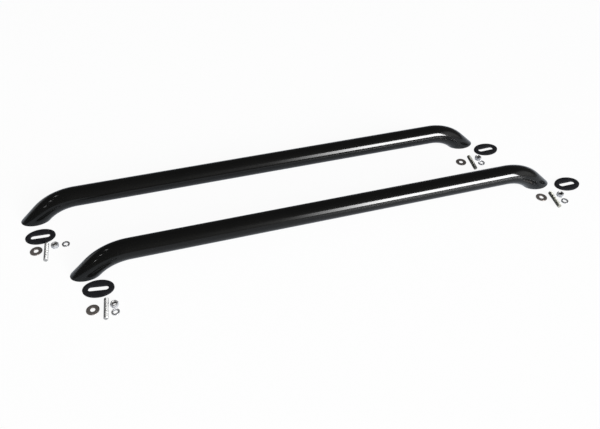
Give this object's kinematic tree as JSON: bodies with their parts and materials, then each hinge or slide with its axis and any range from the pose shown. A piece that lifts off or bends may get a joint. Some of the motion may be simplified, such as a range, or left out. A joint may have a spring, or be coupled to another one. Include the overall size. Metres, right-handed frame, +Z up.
{
  "type": "pair of truck bed rails",
  "caption": "Pair of bent gloss black tube rails for a truck bed's sides, standing on flat-cut feet, laid out with slotted oval gaskets, washers, studs, nuts and lock washers.",
  "frame": {"origin": "centre of the whole layout's box, on the floor that the rails stand on", "axes": "+X along the rails, +Y from the near rail to the far rail, +Z up"},
  "size_m": [1.5584, 0.4253, 0.0832],
  "materials": {
    "rail_black": "gloss black powder coat",
    "plate_black": "black powder coat",
    "weld_nut_steel": "bare steel",
    "gasket_rubber": "matte black rubber",
    "washer_steel": "dull zinc",
    "stud_zinc": "bright zinc",
    "nut_zinc": "bright zinc",
    "lock_washer_steel": "zinc"
  },
  "bodies": {
    "root": {"near_rail": "rail_black", "far_rail": "rail_black", "near_left_foot_plate": "plate_black", "near_left_weld_nut": "weld_nut_steel", "near_left_gasket": "gasket_rubber", "near_left_flat_washer": "washer_steel", "near_left_stud": "stud_zinc", "near_left_hex_nut": "nut_zinc", "near_left_lock_washer": "lock_washer_steel", "near_right_foot_plate": "plate_black", "near_right_weld_nut": "weld_nut_steel", "near_right_gasket": "gasket_rubber", "near_right_flat_washer": "washer_steel", "near_right_stud": "stud_zinc", "near_right_hex_nut": "nut_zinc", "near_right_lock_washer": "lock_washer_steel", "far_left_foot_plate": "plate_black", "far_left_weld_nut": "weld_nut_steel", "far_left_gasket": "gasket_rubber", "far_left_flat_washer": "washer_steel", "far_left_stud": "stud_zinc", "far_left_hex_nut": "nut_zinc", "far_left_lock_washer": "lock_washer_steel", "far_right_foot_plate": "plate_black", "far_right_weld_nut": "weld_nut_steel", "far_right_gasket": "gasket_rubber", "far_right_flat_washer": "washer_steel", "far_right_stud": "stud_zinc", "far_right_hex_nut": "nut_zinc", "far_right_lock_washer": "lock_washer_steel"}
  },
  "joints": []
}
